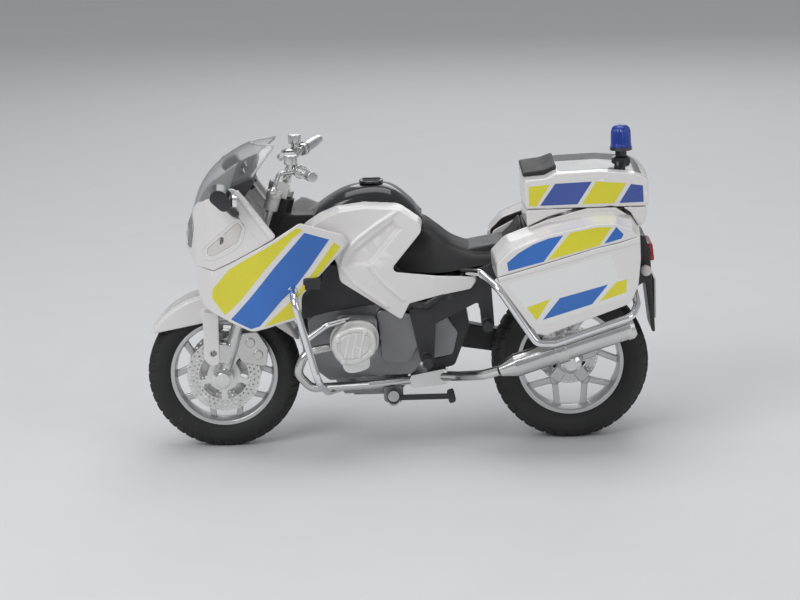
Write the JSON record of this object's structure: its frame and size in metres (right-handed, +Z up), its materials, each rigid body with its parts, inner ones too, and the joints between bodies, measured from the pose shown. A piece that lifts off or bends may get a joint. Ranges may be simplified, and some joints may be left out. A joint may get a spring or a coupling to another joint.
{
  "type": "toy police touring motorcycle",
  "caption": "Model touring motorcycle with fairing, windscreen, flat-twin engine, luggage cases, beacon, free-rolling wheels, steering front end and folding side stand.",
  "frame": {"origin": "on the ground, under the middle of the outline", "axes": "+X forwards, +Y to the rider's left, +Z up"},
  "size_m": [0.1769, 0.076, 0.1096],
  "materials": {
    "body_white": "gloss",
    "body_black": "gloss",
    "frame_black": "satin",
    "seat_black": "fine grained",
    "tyre": "matt",
    "wheel_silver": "satin",
    "engine_grey": "satin",
    "cover_silver": "semi-gloss",
    "chrome": "polished",
    "chrome_dull": "vacuum plated",
    "disc_steel": "brushed",
    "axle_steel": "bright",
    "grip_black": "matt",
    "clear": "clear",
    "amber": "clear",
    "red_lens": "clear",
    "blue_lens": "clear",
    "reflector": "bright",
    "plate_grey": "satin",
    "screw_steel": "plated"
  },
  "bodies": {
    "chassis": {"rear_axle": "axle_steel", "stand_pivot_pin": "axle_steel", "engine_block": "engine_grey", "cylinders": "engine_grey", "rocker_covers": "cover_silver", "swingarm_with_drive": "frame_black", "rear_caliper": "disc_steel", "frame": "frame_black", "exhaust_pipes": "chrome_dull", "silencer": "chrome_dull", "crash_bars": "chrome", "foot_pegs": "frame_black", "rear_carrier": "frame_black", "rear_mudguard": "frame_black", "number_plate": "plate_grey", "tail_light": "red_lens", "rear_indicators": "amber", "tank_cover": "body_black", "fuel_cap": "body_black", "tank_side_left": "body_white", "tank_side_right": "body_white", "seat": "seat_black", "fairing_left": "body_white", "fairing_right": "body_white", "fairing_nose": "body_white", "headlight_lens": "clear", "headlight_reflector": "reflector", "indicator_lenses": "amber", "windscreen": "clear", "dash_panel": "frame_black", "mirror_housings": "body_black", "mirror_glasses": "reflector", "side_case_bodies": "body_white", "side_case_lids": "body_white", "case_guards": "chrome", "silencer_band": "chrome_dull", "top_case_body": "body_white", "top_case_lid": "body_white", "back_pad": "seat_black", "beacon_base": "body_black", "beacon_lens": "blue_lens", "frame_screws": "screw_steel"},
    "steering": {"lower_yoke_and_stem": "axle_steel", "fork_tubes": "chrome_dull", "upper_yoke": "cover_silver", "front_axle": "chrome_dull", "fork_legs": "chrome_dull", "handlebar": "chrome_dull", "hand_grips": "chrome_dull", "hand_levers": "chrome_dull", "front_mudguard": "body_white", "mudguard_screws": "screw_steel", "front_calipers": "disc_steel"},
    "front_wheel": {"front_rim": "wheel_silver", "front_tyre": "tyre", "front_brake_discs": "disc_steel"},
    "rear_wheel": {"rear_rim": "wheel_silver", "rear_tyre": "tyre", "rear_brake_disc": "disc_steel"},
    "side_stand": {"side_stand": "frame_black"}
  },
  "joints": [
    {"name": "steer", "type": "hinge", "parent": "chassis", "child": "steering", "pos_m": [0.04343, 0, 0.07313], "axis": [-0.3007, 0, 0.9537], "range_deg": [-20, 20]},
    {"name": "front_wheel_spin", "type": "hinge", "parent": "steering", "child": "front_wheel", "pos_m": [0.0618, 0, 0.0265], "axis": [0, 1, 0], "continuous": true},
    {"name": "rear_wheel_spin", "type": "hinge", "parent": "chassis", "child": "rear_wheel", "pos_m": [-0.0588, 0, 0.0272], "axis": [0, 1, 0], "continuous": true},
    {"name": "stand_fold", "type": "hinge", "parent": "chassis", "child": "side_stand", "pos_m": [0.003, 0.0132, 0.0184], "axis": [0, -0.8988, -0.4384], "range_deg": [0, 102]}
  ]
}
